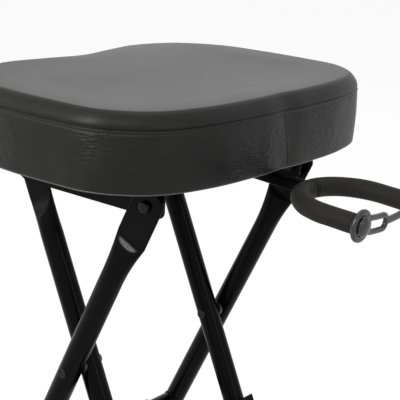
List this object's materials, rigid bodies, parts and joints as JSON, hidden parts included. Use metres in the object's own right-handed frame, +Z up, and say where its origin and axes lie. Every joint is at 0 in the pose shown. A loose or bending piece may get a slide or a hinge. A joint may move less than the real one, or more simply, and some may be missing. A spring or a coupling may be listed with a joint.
{
  "type": "guitar stool",
  "caption": "Folding scissor-leg stool with a padded saddle seat, a foam-covered neck yoke behind the seat and a folding lower cradle.",
  "frame": {"origin": "floor level under the middle of the whole stool's front-to-rear and side-to-side extent", "axes": "+Z up, +X towards the yoke behind the sitter, Y across the seat, left legs at -Y"},
  "size_m": [0.452, 0.4338, 0.6054],
  "materials": {
    "frame_paint": "gloss black",
    "cover_vinyl": "soft satin black vinyl",
    "pad_foam": "open foam",
    "dust_cloth": "matte cloth",
    "board": "plywood",
    "grip_foam": "matte foam rubber",
    "rubber": "matte rubber",
    "gloss_rubber": "glossy dark grey",
    "black_plastic": "moulded",
    "dark_steel": "blackened steel"
  },
  "bodies": {
    "outer_frame": {"outer_leg_left": "frame_paint", "outer_leg_right": "frame_paint", "footrest_bar": "frame_paint", "footrest_sleeve": "rubber", "front_foot_caps": "rubber", "pivot_rivets": "dark_steel", "pivot_spacers": "black_plastic"},
    "inner_frame": {"inner_leg_left": "frame_paint", "inner_leg_right": "frame_paint", "inner_cross_bar": "frame_paint", "body_rest_bar": "frame_paint", "body_rest_foam": "grip_foam", "body_rest_clips": "frame_paint", "body_rest_caps": "black_plastic", "rear_foot_caps": "rubber", "slide_pins": "dark_steel", "cradle_brackets": "frame_paint"},
    "seat": {"seat_board": "board", "seat_foam": "pad_foam", "seat_cover": "cover_vinyl", "dust_cover": "dust_cloth", "seat_rail_left": "frame_paint", "seat_rail_right": "frame_paint", "rail_screws": "dark_steel", "hinge_bolts": "dark_steel", "hinge_spacers": "black_plastic", "hinge_nuts": "dark_steel", "yoke_brackets": "frame_paint", "bracket_screws": "dark_steel", "arm_pivot_bolt": "dark_steel", "arm_pivot_nut": "dark_steel"},
    "yoke": {"yoke_arm": "frame_paint", "yoke_rod": "frame_paint", "yoke_foam_left": "grip_foam", "yoke_foam_right": "grip_foam", "yoke_end_flanges": "gloss_rubber", "strap_buttons": "gloss_rubber", "retaining_strap": "gloss_rubber"},
    "cradle": {"cradle_rod": "frame_paint", "cradle_foam_left": "grip_foam", "cradle_foam_right": "grip_foam", "cradle_end_caps": "rubber"}
  },
  "joints": [
    {"name": "fold", "type": "hinge", "parent": "outer_frame", "child": "inner_frame", "pos_m": [-0.07019, 0, 0.3], "axis": [0, 1, 0], "range_deg": [0, 34]},
    {"name": "seat_tilt", "type": "hinge", "parent": "outer_frame", "child": "seat", "pos_m": [0.02379, 0, 0.50245], "axis": [0, 1, 0], "range_deg": [0, 17]},
    {"name": "yoke_swing", "type": "hinge", "parent": "seat", "child": "yoke", "pos_m": [0.01981, 0, 0.52405], "axis": [0, 1, 0], "range_deg": [0, 172]},
    {"name": "cradle_fold", "type": "hinge", "parent": "inner_frame", "child": "cradle", "pos_m": [0.05446, 0, 0.09322], "axis": [0, 1, 0], "range_deg": [-80, 0]}
  ],
  "couplings": [
    {"joint": "seat_tilt", "follows": "fold", "ratio": 0.5}
  ]
}
